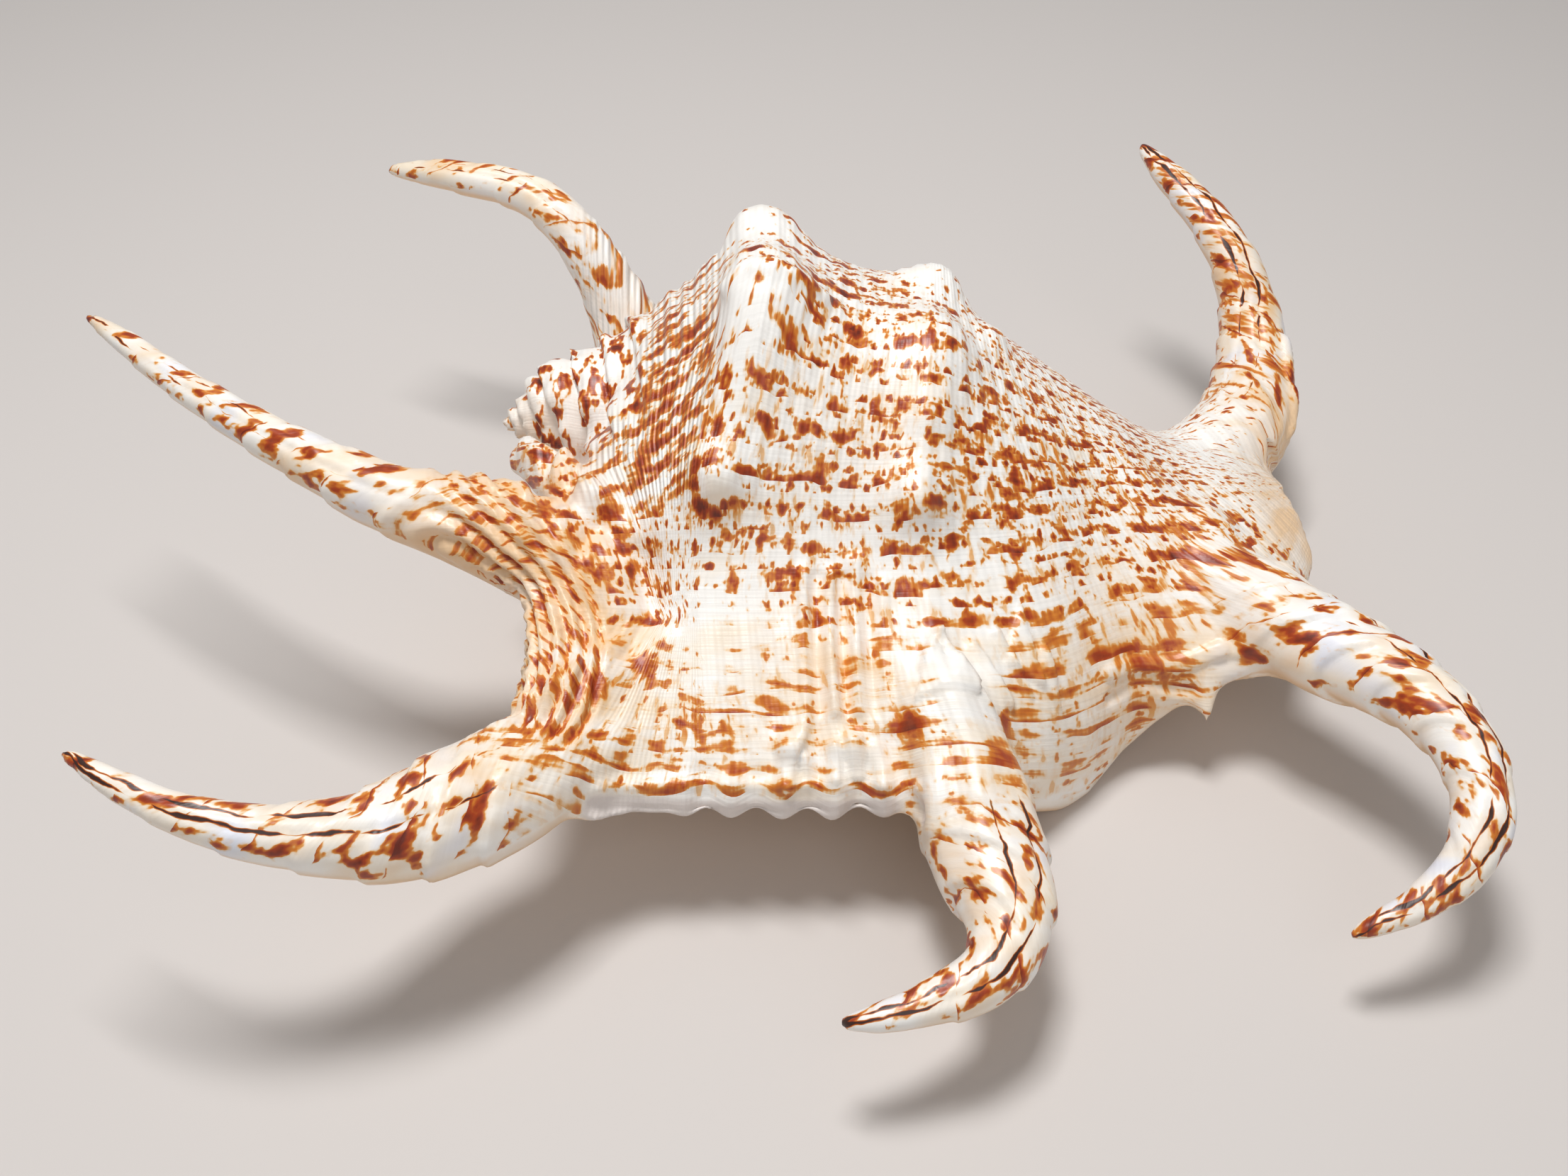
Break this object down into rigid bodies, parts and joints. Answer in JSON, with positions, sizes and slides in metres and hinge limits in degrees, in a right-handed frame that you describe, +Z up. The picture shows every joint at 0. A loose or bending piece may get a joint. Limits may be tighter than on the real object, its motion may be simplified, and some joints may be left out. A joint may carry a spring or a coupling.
{
  "type": "spider conch shell",
  "caption": "Whole spider conch shell resting aperture down, with a stepped spire, knobbed back, flared lip, long hooked fingers and a curved siphonal canal, mottled rust on cream.",
  "frame": {"origin": "middle of the bounding box, on the surface that the shell rests on", "axes": "+X from the spire to the siphonal canal, +Y from the flared lip to the rounded side, +Z up through the knobbed back"},
  "size_m": [0.2026, 0.1692, 0.0711],
  "materials": {
    "shell": "glossy porcelain-like calcium carbonate, cream and white with rust-brown dashes, blotches and bands, peach at the lip, dark finger tips"
  },
  "bodies": {
    "root": {"shell": "shell"}
  },
  "joints": []
}
